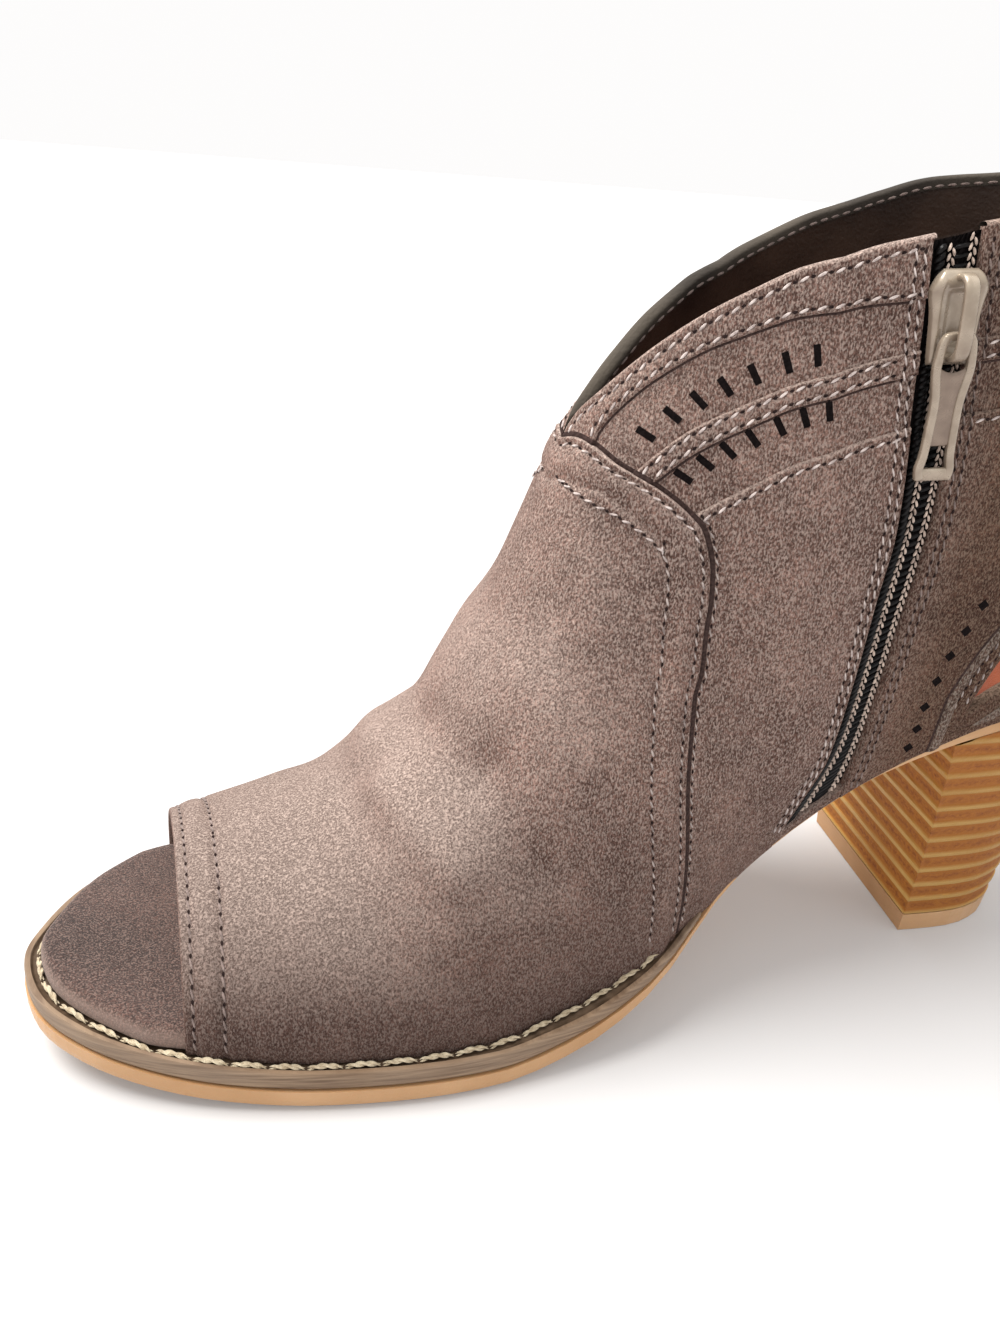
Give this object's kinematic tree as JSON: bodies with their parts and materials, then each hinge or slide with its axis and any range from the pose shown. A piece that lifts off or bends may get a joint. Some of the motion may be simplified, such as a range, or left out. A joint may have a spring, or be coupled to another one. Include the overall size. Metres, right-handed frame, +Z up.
{
  "type": "peep toe ankle boot",
  "caption": "Right ankle boot with an open toe, a curved collar, a side zip, rear cut-outs and a stacked block heel.",
  "frame": {"origin": "middle of the bounding box, on the floor the boot stands on", "axes": "+Z up, -X to the toe, +X to the heel, -Y the inner (medial) side with the zip, +Y the outer side"},
  "size_m": [0.235, 0.0876, 0.1667],
  "materials": {
    "outsole_rubber": "gum tan, matt",
    "welt_leather": "grey brown, cut edge, wood-like grain",
    "insole_suede": "dark taupe nap",
    "heel_stack": "stacked layers, brown with pale ridges, polished",
    "heel_lift": "gum tan, matt",
    "upper_suede": "taupe suede with a short nap, softly creased",
    "zip_fabric": "dark woven tape with a nylon coil",
    "zip_metal": "champagne enamel, slightly glossy"
  },
  "bodies": {
    "boot": {"outsole": "outsole_rubber", "welt": "welt_leather", "insole": "insole_suede", "heel_block": "heel_stack", "heel_tip": "heel_lift", "upper": "upper_suede", "zip_tape": "zip_fabric", "zip_slider": "zip_metal"},
    "pull": {"zip_pull": "zip_metal"}
  },
  "joints": [
    {"name": "zip_pull_swing", "type": "hinge", "parent": "boot", "child": "pull", "pos_m": [0.03914, -0.03127, 0.14027], "axis": [-0.9708, 0.2231, -0.0881], "range_deg": [0, 130]}
  ]
}
